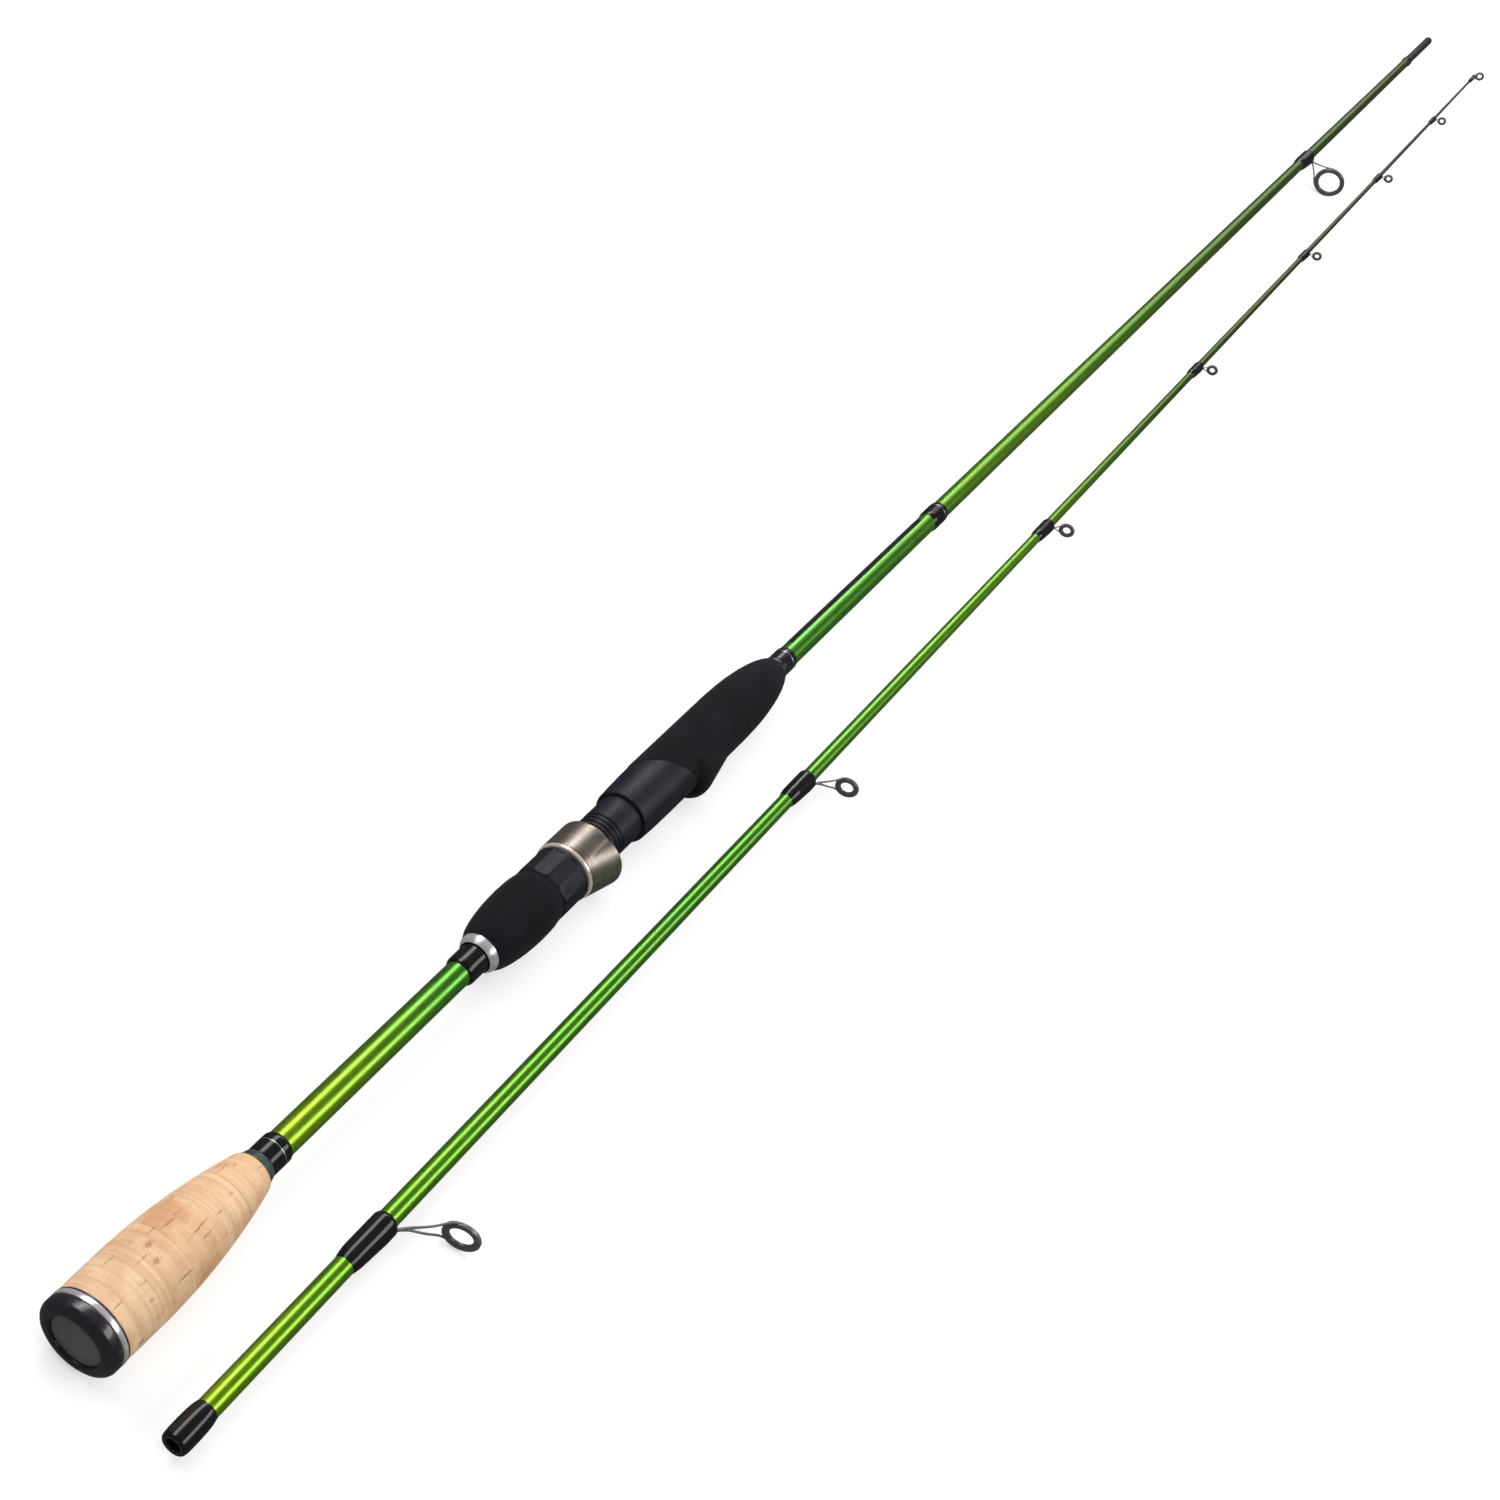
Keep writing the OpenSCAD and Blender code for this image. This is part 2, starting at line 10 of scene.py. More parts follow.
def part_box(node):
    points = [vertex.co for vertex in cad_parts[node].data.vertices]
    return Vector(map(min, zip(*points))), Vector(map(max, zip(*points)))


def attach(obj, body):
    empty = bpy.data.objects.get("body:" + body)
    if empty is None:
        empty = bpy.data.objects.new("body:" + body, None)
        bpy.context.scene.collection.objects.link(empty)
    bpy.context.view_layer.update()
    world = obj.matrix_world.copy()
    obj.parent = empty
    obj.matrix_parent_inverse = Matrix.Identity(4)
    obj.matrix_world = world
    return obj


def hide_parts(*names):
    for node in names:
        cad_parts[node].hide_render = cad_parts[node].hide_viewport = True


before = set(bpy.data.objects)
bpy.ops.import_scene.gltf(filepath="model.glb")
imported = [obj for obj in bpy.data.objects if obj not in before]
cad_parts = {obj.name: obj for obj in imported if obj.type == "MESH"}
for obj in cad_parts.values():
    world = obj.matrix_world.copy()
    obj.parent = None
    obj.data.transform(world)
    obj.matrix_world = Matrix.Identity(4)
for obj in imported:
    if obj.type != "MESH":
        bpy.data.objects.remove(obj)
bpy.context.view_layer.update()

MM = 0.001
SMOOTH = math.radians(38)

# ------------------------------------------------------------------ where the two sections lie


def section_place(blank, first, ring):
    """The section's own frame: X along the blank from its thick end, -Z towards its guides."""
    lo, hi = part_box(blank)
    r_lo, r_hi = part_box(ring)
    y, z = (lo[1] + hi[1]) / 2, (lo[2] + hi[2]) / 2
    dy, dz = (r_lo[1] + r_hi[1]) / 2 - y, (r_lo[2] + r_hi[2]) / 2 - z
    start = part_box(first)[0][0]
    return Matrix.Translation((start, y, z)) @ Matrix.Rotation(math.atan2(dy, -dz), 4, "X")


BUTT = section_place("butt_blank", "butt_cap", "stripper_ring")
TIP = section_place("tip_blank", "tip_blank", "guide_1_ring")
PLACES = {"butt_section": BUTT, "hood": BUTT, "nut": BUTT, "tip_section": TIP}

# ------------------------------------------------------------------ helpers


def only(obj):
    """Selects one object and nothing else."""
    bpy.ops.object.select_all(action="DESELECT")
    obj.select_set(True)
    bpy.context.view_layer.objects.active = obj


def edit(obj):
    only(obj)
    bpy.ops.object.mode_set(mode="EDIT")
    bpy.ops.mesh.select_all(action="SELECT")


def done_editing():
    bpy.ops.object.mode_set(mode="OBJECT")


def turned(stations, sides=64, loop=False):
    """A round piece grown ring by ring along X; stations are (x, radius) in mm."""
    bpy.ops.object.select_all(action="DESELECT")
    x, r = stations[0]
    fill = "NOTHING" if loop else "NGON"
    bpy.ops.mesh.primitive_circle_add(vertices=sides, radius=r * MM, fill_type=fill,
                                      location=(x * MM, 0, 0), rotation=(0, math.pi / 2, 0))
    obj = bpy.context.object
    bpy.ops.object.transform_apply(location=True, rotation=True, scale=True)
    edit(obj)
    for x_next, r_next in stations[1:] + (stations[:1] if loop else []):
        bpy.ops.mesh.extrude_region_move(TRANSFORM_OT_translate={"value": ((x_next - x) * MM, 0, 0)})
        if r_next != r:
            bpy.ops.transform.resize(value=(1, r_next / r, r_next / r), center_override=(x_next * MM, 0, 0))
        x, r = x_next, r_next
    bpy.ops.mesh.select_all(action="SELECT")
    if loop:
        bpy.ops.mesh.remove_doubles(threshold=1e-7)
    bpy.ops.mesh.normals_make_consistent(inside=False)
    done_editing()
    return obj


def moved(obj, matrix):
    """Puts an object somewhere and sinks that place into its mesh."""
    only(obj)
    obj.matrix_world = matrix
    bpy.ops.object.transform_apply(location=True, rotation=True, scale=True)
    return obj


def cut(obj, tool, operation="DIFFERENCE"):
    """Boolean with a tool that is used up."""
    only(obj)
    mod = obj.modifiers.new("cut", "BOOLEAN")
    mod.object, mod.operation, mod.solver = tool, operation, "EXACT"
    bpy.ops.object.modifier_apply(modifier=mod.name)
    bpy.data.objects.remove(tool, do_unlink=True)
    return obj


def block(x0, x1, y0, y1, z0, z1):
    """A cutting block between two corners, in mm."""
    bpy.ops.object.select_all(action="DESELECT")
    middle = ((x0 + x1) / 2 * MM, (y0 + y1) / 2 * MM, (z0 + z1) / 2 * MM)
    extent = ((x1 - x0) * MM, (y1 - y0) * MM, (z1 - z0) * MM)
    bpy.ops.mesh.primitive_cube_add(size=1, location=middle, scale=extent)
    bpy.ops.object.transform_apply(location=True, rotation=True, scale=True)
    return bpy.context.object


def bevelled(obj, width, segments=2, angle=30):
    only(obj)
    mod = obj.modifiers.new("bevel", "BEVEL")
    mod.width, mod.segments, mod.angle_limit = width * MM, segments, math.radians(angle)
    bpy.ops.object.modifier_apply(modifier=mod.name)
    return obj


def remeshed(obj, voxel, smooth_turns):
    """Melts a joined shape into one skin, as foam is ground, and smooths it."""
    only(obj)
    mod = obj.modifiers.new("skin", "REMESH")
    mod.mode, mod.voxel_size = "VOXEL", voxel * MM
    bpy.ops.object.modifier_apply(modifier=mod.name)
    mod = obj.modifiers.new("ease", "SMOOTH")
    mod.factor, mod.iterations = 0.5, smooth_turns
    bpy.ops.object.modifier_apply(modifier=mod.name)
    return obj


def strip(points, width):
    """A drawn wire that follows points, in mm; a fourth number scales its width there."""
    data = bpy.data.curves.new("strip", "CURVE")
    data.dimensions, data.resolution_u, data.bevel_depth, data.bevel_resolution = "3D", 6, width / 2 * MM, 3
    data.use_fill_caps = True
    line = data.splines.new("BEZIER")
    line.bezier_points.add(len(points) - 1)
    for knot, point in zip(line.bezier_points, points):
        knot.co = Vector(point[:3]) * MM
        knot.radius = point[3] if len(point) > 3 else 1
        knot.handle_left_type = knot.handle_right_type = "AUTO"
    obj = bpy.data.objects.new("strip", data)
    bpy.context.collection.objects.link(obj)
    only(obj)
    bpy.ops.object.convert(target="MESH")
    return bpy.context.object


def joined(*objs):
    bpy.ops.object.select_all(action="DESELECT")
    for obj in objs:
        obj.select_set(True)
    bpy.context.view_layer.objects.active = objs[0]
    bpy.ops.object.join()
    return objs[0]


def fit(obj, name, body, slot, material, *nodes, angle=SMOOTH):
    """Names a finished piece, lays it in its section, gives it its material and hides the parts it stands in
    for.
    """
    obj.name = obj.data.name = name
    moved(obj, PLACES[body] @ obj.matrix_world)
    obj.data.materials.clear()
    obj.data.materials.append(material)
    bpy.ops.object.shade_smooth_by_angle(angle=angle)
    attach(obj, body)
    if nodes:
        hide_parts(*nodes)
    return obj


# ------------------------------------------------------------------ finishes


class Finish:
    """A material under construction: a Principled shader with nodes added by name."""

    def __init__(self, name, **sockets):
        self.mat = bpy.data.materials.new(name)
        self.mat.use_nodes = True
        self.tree = self.mat.node_tree
        self.shader = self.tree.nodes["Principled BSDF"]
        for key, value in sockets.items():
            self.shader.inputs[key.replace("_", " ")].default_value = value
        self.where = self.add("ShaderNodeTexCoord").outputs["Object"]

    def add(self, kind, inputs=None, **settings):
        node = self.tree.nodes.new(kind)
        for key, value in settings.items():
            setattr(node, key, value)
        for key, value in (inputs or {}).items():
            if isinstance(value, bpy.types.NodeSocket):
                self.tree.links.new(value, node.inputs[key])
            else:
                node.inputs[key].default_value = value
        return node

    def group(self, tree, **inputs):
        named = {key.replace("_", " "): value for key, value in inputs.items()}
        return self.add("ShaderNodeGroup", named, node_tree=tree)

    def mix(self, factor, a, b):
        """Colour a where the factor is 0, colour b where it is 1."""
        node = self.add("ShaderNodeMix", data_type="RGBA")
        for key, value in (("Factor", factor), ("A", a), ("B", b)):
            socket = [s for s in node.inputs if s.name == key
                      and s.type == ("VALUE" if key == "Factor" else "RGBA")][0]
            if isinstance(value, bpy.types.NodeSocket):
                self.tree.links.new(value, socket)
            else:
                socket.default_value = value if key == "Factor" else (*value, 1)
        return [s for s in node.outputs if s.type == "RGBA"][0]

    def span(self, value, low, high, out_low=0.0, out_high=1.0):
        return self.add("ShaderNodeMapRange", {"Value": value, "From Min": low, "From Max": high,
                                               "To Min": out_low, "To Max": out_high}).outputs["Result"]

    def feed(self, **links):
        for key, value in links.items():
            self.tree.links.new(value, self.shader.inputs[key.replace("_", " ")])
        return self

    def bump(self, height, distance, strength=1.0):
        node = self.add("ShaderNodeBump", {"Height": height, "Distance": distance * MM,
                                           "Strength": strength})
        self.tree.links.new(node.outputs["Normal"], self.shader.inputs["Normal"])
        return self


def new_group(name, inputs, outputs):
    tree = bpy.data.node_groups.new(name, "ShaderNodeTree")
    for label, kind, default in inputs:
        socket = tree.interface.new_socket(label, in_out="INPUT", socket_type=kind)
        if default is not None:
            socket.default_value = default
    for label, kind in outputs:
        tree.interface.new_socket(label, in_out="OUTPUT", socket_type=kind)
    return tree, tree.nodes.new("NodeGroupInput"), tree.nodes.new("NodeGroupOutput")


def build_grain():
    """Fine even grain: a height and a mask, at a stated number of grains per millimetre."""
    tree, given, out = new_group("grain", [("Where", "NodeSocketVector", None),
                                           ("Per mm", "NodeSocketFloat", 2.0),
                                           ("Roughness", "NodeSocketFloat", 0.5)],
                                 [("Height", "NodeSocketFloat"), ("Mask", "NodeSocketFloat")])
    scale = tree.nodes.new("ShaderNodeMath")
    scale.operation = "MULTIPLY"
    scale.inputs[1].default_value = 1 / MM
    noise = tree.nodes.new("ShaderNodeTexNoise")
    noise.inputs["Detail"].default_value = 3
    ramp = tree.nodes.new("ShaderNodeMapRange")
    ramp.inputs["From Min"].default_value, ramp.inputs["From Max"].default_value = 0.42, 0.62
    tree.links.new(given.outputs["Per mm"], scale.inputs[0])
    tree.links.new(scale.outputs[0], noise.inputs["Scale"])
    tree.links.new(given.outputs["Where"], noise.inputs["Vector"])
    tree.links.new(given.outputs["Roughness"], noise.inputs["Roughness"])
    tree.links.new(noise.outputs[0], ramp.inputs["Value"])
    tree.links.new(noise.outputs[0], out.inputs["Height"])
    tree.links.new(ramp.outputs[0], out.inputs["Mask"])
    return tree


def build_lathe_marks():
    """Marks that run round the rod: noise that changes along X and hardly across it."""
    tree, given, out = new_group("lathe_marks", [("Where", "NodeSocketVector", None),
                                                 ("Per mm", "NodeSocketFloat", 4.0)],
                                 [("Height", "NodeSocketFloat"), ("Mask", "NodeSocketFloat")])
    squeeze = tree.nodes.new("ShaderNodeMapping")
    squeeze.inputs["Scale"].default_value = (1 / MM, 0.03 / MM, 0.03 / MM)
    noise = tree.nodes.new("ShaderNodeTexNoise")
    noise.inputs["Detail"].default_value = 2
    ramp = tree.nodes.new("ShaderNodeMapRange")
    ramp.inputs["From Min"].default_value, ramp.inputs["From Max"].default_value = 0.35, 0.65
    tree.links.new(given.outputs["Where"], squeeze.inputs["Vector"])
    tree.links.new(squeeze.outputs[0], noise.inputs["Vector"])
    tree.links.new(given.outputs["Per mm"], noise.inputs["Scale"])
    tree.links.new(noise.outputs[0], ramp.inputs["Value"])
    tree.links.new(noise.outputs[0], out.inputs["Height"])
    tree.links.new(ramp.outputs[0], out.inputs["Mask"])
    return tree


def build_winding():
    """Turns of thread laid side by side along X."""
    tree, given, out = new_group("thread_winding", [("Where", "NodeSocketVector", None),
                                                    ("Turns per mm", "NodeSocketFloat", 4.0)],
                                 [("Height", "NodeSocketFloat")])
    axis = tree.nodes.new("ShaderNodeSeparateXYZ")
    turns = tree.nodes.new("ShaderNodeMath")
    turns.operation = "MULTIPLY"
    circle = tree.nodes.new("ShaderNodeMath")
    circle.operation = "MULTIPLY"
    circle.inputs[1].default_value = 2 * math.pi / MM
    wave = tree.nodes.new("ShaderNodeMath")
    wave.operation = "SINE"
    tree.links.new(given.outputs["Where"], axis.inputs[0])
    tree.links.new(axis.outputs["X"], turns.inputs[0])
    tree.links.new(given.outputs["Turns per mm"], turns.inputs[1])
    tree.links.new(turns.outputs[0], circle.inputs[0])
    tree.links.new(circle.outputs[0], wave.inputs[0])
    tree.links.new(wave.outputs[0], out.inputs["Height"])
    return tree


GRAIN = build_grain()
LATHE = build_lathe_marks()
WINDING = build_winding()


def blank_lacquer(name, start, length, colours):
    """Candy lacquer on a blank: the colour changes from the thick end to the thin end."""
    f = Finish(name, Metallic=0.85, Roughness=0.3, Coat_Weight=0.4, Coat_Roughness=0.2, Coat_IOR=1.5)
    x = f.add("ShaderNodeSeparateXYZ", {"Vector": f.where}).outputs["X"]
    ramp = f.add("ShaderNodeValToRGB", {"Fac": f.span(x, start, start + length)})
    ends = ramp.color_ramp.elements
    for end, (place, colour) in zip((ends[0], ends[1]), (colours[0], colours[-1])):
        end.position, end.color = place, (*colour, 1)
    for place, colour in colours[1:-1]:
        ends.new(place).color = (*colour, 1)
    flake = f.group(GRAIN, Where=f.where, Per_mm=6.0, Roughness=0.6)
    turns = f.group(LATHE, Where=f.where, Per_mm=0.5)
    colour = f.mix(f.span(flake.outputs["Mask"], 0, 1, 0.0, 0.02), ramp.outputs["Color"],
                   (0.75, 0.95, 0.45))
    return f.feed(Base_Color=colour, Roughness=f.span(turns.outputs["Mask"], 0, 1, 0.28, 0.33)).bump(
        flake.outputs["Height"], 0.002, 0.1).mat


def epoxy_wrap(name, thread):
    """Thread under a thick gloss coat: the turns show faintly through it."""
    f = Finish(name, Roughness=0.45, Coat_Weight=0.75, Coat_Roughness=0.07)
    f.shader.inputs["Specular IOR Level"].default_value = 0.06
    turns = f.group(WINDING, Where=f.where, Turns_per_mm=3.2)
    sag = f.group(GRAIN, Where=f.where, Per_mm=0.35, Roughness=0.4)
    colour = f.mix(f.span(turns.outputs["Height"], -1, 1), [c * 0.6 for c in thread], thread)
    return f.feed(Base_Color=colour, Roughness=f.span(sag.outputs["Mask"], 0, 1, 0.4, 0.5)).bump(
        turns.outputs["Height"], 0.004, 0.2).mat


def gloss_plastic(name, colour, rough=0.18, coat=0.6, coat_rough=0.05):
    """Moulded plastic or ceramic with a shine and a little dust."""
    f = Finish(name, Roughness=rough, Coat_Weight=coat, Coat_Roughness=coat_rough)
    f.shader.inputs["Specular IOR Level"].default_value = 0.35
    dust = f.group(GRAIN, Where=f.where, Per_mm=0.5, Roughness=0.7)
    fine = f.group(GRAIN, Where=f.where, Per_mm=5.0, Roughness=0.5)
    return f.feed(Base_Color=f.mix(dust.outputs["Mask"], colour, [min(1, c * 1.2 + 0.001) for c in colour]),
                  Roughness=f.span(dust.outputs["Mask"], 0, 1, rough, rough + 0.1)).bump(
        fine.outputs["Height"], 0.006, 0.3).mat


def moulded(name, colour, rough=0.45, tint=None):
    """Satin moulded plastic with a faint spark texture and a cloudy tint."""
    f = Finish(name, Roughness=rough)
    f.shader.inputs["Specular IOR Level"].default_value = 0.3
    spark = f.group(GRAIN, Where=f.where, Per_mm=4.0, Roughness=0.6)
    cloud = f.group(GRAIN, Where=f.where, Per_mm=0.12, Roughness=0.5)
    return f.feed(Base_Color=f.mix(cloud.outputs["Mask"], colour, tint or [c * 1.5 for c in colour]),
                  Roughness=f.span(spark.outputs["Mask"], 0, 1, rough - 0.06, rough + 0.08)).bump(
        spark.outputs["Height"], 0.02, 0.4).mat


def turned_metal(name, colour, rough, marks=3.0, depth=0.01, metallic=1.0):
    """Metal with fine turning marks round the rod and faint handling."""
    f = Finish(name, Metallic=metallic, Roughness=rough)
    lines = f.group(LATHE, Where=f.where, Per_mm=marks)
    hand = f.group(GRAIN, Where=f.where, Per_mm=0.2, Roughness=0.6)
    return f.feed(Base_Color=f.mix(lines.outputs["Mask"], [c * 0.8 for c in colour], colour),
                  Roughness=f.span(hand.outputs["Mask"], 0, 1, rough * 0.92, rough * 1.12)).bump(
        lines.outputs["Height"], depth, 0.5).mat


def foam(name):
    """Ground closed-cell foam: matt, with fine open cells and a faint violet cast."""
    f = Finish(name, Roughness=0.88, Sheen_Weight=0.02, Sheen_Roughness=0.5)
    f.shader.inputs["Specular IOR Level"].default_value = 0.08
    cells = f.group(GRAIN, Where=f.where, Per_mm=3.0, Roughness=0.7)
    cloud = f.group(GRAIN, Where=f.where, Per_mm=0.06, Roughness=0.4)
    base = f.mix(cloud.outputs["Mask"], (0.0085, 0.0085, 0.0105), (0.0125, 0.0098, 0.0145))
    colour = f.mix(f.span(cells.outputs["Mask"], 0, 1, 0, 0.35), base, (0.003, 0.003, 0.0035))
    return f.feed(Base_Color=colour).bump(cells.outputs["Height"], 0.06, 0.6).mat


def cork():
    """Ring cork: tan cells, darker patches, lathe sanding lines, and brown in the open pores."""
    f = Finish("ring_cork", Roughness=0.7)
    f.shader.inputs["Specular IOR Level"].default_value = 0.3
    pores = f.add("ShaderNodeAttribute", attribute_name="pores").outputs["Fac"]
    tone = f.add("ShaderNodeAttribute", attribute_name="tone").outputs["Fac"]
    patch = f.group(GRAIN, Where=f.where, Per_mm=0.11, Roughness=0.55)
    cells = f.group(GRAIN, Where=f.where, Per_mm=1.6, Roughness=0.75)
    lines = f.group(LATHE, Where=f.where, Per_mm=0.8)
    base = f.mix(f.span(patch.outputs["Mask"], 0, 1, 0, 0.9), (0.70, 0.465, 0.275), (0.56, 0.285, 0.145))
    base = f.mix(f.span(tone, 0, 1, 0, 0.5), base, (0.79, 0.58, 0.385))
    base = f.mix(f.span(lines.outputs["Mask"], 0, 1, 0.45, 0), base, (0.48, 0.26, 0.12))
    base = f.mix(f.span(cells.outputs["Mask"], 0, 1, 0, 0.22), base, (0.50, 0.27, 0.13))
    base = f.mix(pores, base, (0.27, 0.105, 0.04))
    return f.feed(Base_Color=base, Roughness=f.span(cells.outputs["Mask"], 0, 1, 0.62, 0.82)).bump(
        cells.outputs["Height"], 0.05, 0.5).mat


LIME, LEAF = (0.27, 0.47, 0.004), (0.15, 0.39, 0.008)
GREEN, FERN = (0.075, 0.31, 0.018), (0.078, 0.185, 0.009)
OLIVE, KHAKI, BROWN = (0.088, 0.13, 0.018), (0.085, 0.092, 0.042), (0.08, 0.076, 0.055)
butt_x, tip_x = BUTT.translation.x, TIP.translation.x
BUTT_GREEN = blank_lacquer("butt_blank_lacquer", butt_x, 1.235,
                           [(0.0, LIME), (0.07, LIME), (0.13, GREEN), (0.38, GREEN), (0.43, LEAF),
                            (0.52, LEAF), (0.72, FERN), (0.95, OLIVE)])
TIP_GREEN = blank_lacquer("tip_blank_lacquer", tip_x, 1.255,
                          [(0.0, LIME), (0.05, LEAF), (0.2, GREEN), (0.42, LEAF), (0.56, FERN),
                           (0.66, OLIVE), (0.78, KHAKI), (0.92, BROWN)])
BLACK_WRAP = epoxy_wrap("black_thread_epoxy", (0.007, 0.0065, 0.0075))
NAVY_WRAP = epoxy_wrap("blue_black_thread_epoxy", (0.012, 0.013, 0.02))
TRIM_THREAD = turned_metal("metallic_trim_thread", (0.42, 0.56, 0.34), 0.35, 6.0)
PANEL = gloss_plastic("label_panel_gloss", (0.006, 0.008, 0.006), 0.2, 0.8)
SILVER_THREAD = turned_metal("silver_trim_thread", (0.62, 0.66, 0.66), 0.3, 6.0)
CAP_GLOSS = gloss_plastic("gloss_cap_moulding", (0.012, 0.010, 0.014), 0.3, 0.8, 0.16)
DISC_GREY = turned_metal("cap_disc_satin", (0.155, 0.138, 0.145), 0.4, 2.0, 0.004, 0.35)
BRIGHT = turned_metal("polished_bright_metal", (0.76, 0.71, 0.74), 0.25, 1.5, 0.004, 0.65)
GUNMETAL = turned_metal("dark_polished_metal", (0.16, 0.155, 0.17), 0.3, 2.0, 0.004)
CHECK_GREY = moulded("winding_check_satin", (0.028, 0.040, 0.038), 0.34)
FOAM = foam("ground_foam")
CORK = cork()
NUT = moulded("lock_nut_moulding", (0.0065, 0.0062, 0.010), 0.5, (0.0095, 0.009, 0.015))
SEAT = moulded("reel_seat_moulding", (0.0065, 0.0066, 0.0105), 0.5, (0.0095, 0.0095, 0.0155))
GOLD_RING = turned_metal("warm_bright_bevel", (0.95, 0.83, 0.66), 0.26, 1.5, 0.002, 0.55)
HOOD = turned_metal("dark_bronze_hood", (0.30, 0.26, 0.225), 0.34, 1.2, 0.001, 0.9)
CUSHION = moulded("hood_cushion_soft", (0.010, 0.010, 0.011), 0.6)
ARBOR = moulded("arbor_plain", (0.05, 0.05, 0.05), 0.6)
GRAPHITE = gloss_plastic("ground_graphite", (0.014, 0.015, 0.014), 0.3, 0.3)
FRAME_METAL = turned_metal("guide_frame_metal", (0.20, 0.20, 0.205), 0.35, 3.0, metallic=0.5)
INSERT = gloss_plastic("guide_insert_ceramic", (0.058, 0.060, 0.066), 0.25, 0.4, 0.12)

# ------------------------------------------------------------------ butt cap and cork


def build_cap():
    outer = [(1.8, 8.7), (0.6, 8.7), (0.18, 8.85), (0.02, 9.2), (0, 10.2), (0.2, 11.2), (0.7, 12.1),
             (1.4, 12.75), (2.3, 13.08), (4.2, 13.1), (4.5, 12.98), (4.62, 12.6), (4.62, 4.7), (4.0, 4.7)]
    fit(turned(outer, 96), "cap_moulding", "butt_section", "black_cap", CAP_GLOSS, "butt_cap",
        angle=math.radians(50))
    disc = [(1.8, 8.6), (1.15, 8.6), (0.95, 8.4), (0.9, 8.0), (0.98, 7.8), (0.98, 7.3), (0.9, 7.1),
            (0.82, 4), (0.8, 0.05)]
    fit(turned(disc, 96), "cap_face_disc", "butt_section", "grey_disc", DISC_GREY, "cap_disc")
    ring = [(4.64, 4.75), (4.64, 12.7), (4.8, 13.0), (5.2, 13.14), (6.2, 13.14), (6.45, 13.0),
            (6.58, 12.75), (6.58, 4.75)]
    fit(turned(ring, 96, loop=True), "cap_bright_ring", "butt_section", "polished_trim", BRIGHT,
        "cap_trim_ring")
    gasket = [(6.6, 4.75), (6.6, 12.85), (6.7, 12.98), (6.9, 12.98), (7.0, 12.85), (7.0, 4.75)]
    fit(turned(gasket, 96, loop=True), "cap_gasket_line", "butt_section", "black_cap", CAP_GLOSS)


CORK_START, CORK_END, CORK_SWELL, CORK_R = 7.0, 72.0, 22.0, 13.13
CORK_RINGS = 5


def cork_radius(x):
    """Radius of the cork grip at a station, in mm: nearly even at the cap, then a long taper."""
    if x < CORK_SWELL:
        return CORK_R - 0.14 * (CORK_SWELL - x) / (CORK_SWELL - CORK_START)
    return CORK_R - 6.25 * ((x - CORK_SWELL) / (CORK_END - CORK_SWELL)) ** 2


def open_pores(obj, x0, x1, seed):
    """Sinks axial pores into a cork ring and marks them, so that colour and shape agree."""
    draw = random.Random(seed)
    mesh = obj.data
    at = np.empty(len(mesh.vertices) * 3)
    mesh.vertices.foreach_get("co", at)
    at = at.reshape(-1, 3) / MM
    radius = np.hypot(at[:, 1], at[:, 2])
    turn = np.arctan2(at[:, 2], at[:, 1])
    arc = cork_radius((x0 + x1) / 2)
    pores = np.zeros(len(at))

    def round_from(angle):
        """How far round the ring every point lies from an angle, in mm."""
        return ((turn - angle + math.pi) % (2 * math.pi) - math.pi) * arc

    for _ in range(draw.randint(15, 21)):
        cx, ca = draw.uniform(x0, x1), draw.uniform(-math.pi, math.pi)
        half, wide = draw.uniform(0.8, 3.8), draw.uniform(0.14, 0.28)
        lean, bow = draw.uniform(-0.10, 0.10), draw.uniform(-0.16, 0.16)
        depth = draw.uniform(0.55, 1.0)
        dx = at[:, 0] - cx
        da = round_from(ca) - lean * dx - bow * np.sin(dx * 1.9 + ca)
        fade = np.clip(1.25 - np.abs(dx) / half, 0, 1)
        ragged = 0.65 + 0.35 * np.sin(dx * 7 + ca * 5)
        pores = np.maximum(pores, depth * fade * np.clip(1.6 - np.abs(da) / (wide * ragged), 0, 1))
    for _ in range(draw.randint(1, 3)):
        cx, ca, size = draw.uniform(x0 + 1, x1 - 1), draw.uniform(-math.pi, math.pi), draw.uniform(0.5, 1.1)
        da = round_from(ca)
        near = np.hypot((at[:, 0] - cx) / 1.5, da) + 0.25 * np.sin(at[:, 0] * 5 + da * 4)
        pores = np.maximum(pores, 0.7 * np.clip(1.3 - near / size, 0, 1))
    pores = np.clip(pores, 0, 1) * (radius > 5)
    sink = 1 - 0.28 * pores / np.maximum(radius, 1)
    at[:, 1] *= sink
    at[:, 2] *= sink
    mesh.vertices.foreach_set("co", (at * MM).ravel())
    mesh.attributes.new("pores", "FLOAT", "POINT").data.foreach_set("value", pores)
    tone = np.full(len(at), draw.random())
    mesh.attributes.new("tone", "FLOAT", "POINT").data.foreach_set("value", tone)
    mesh.update()


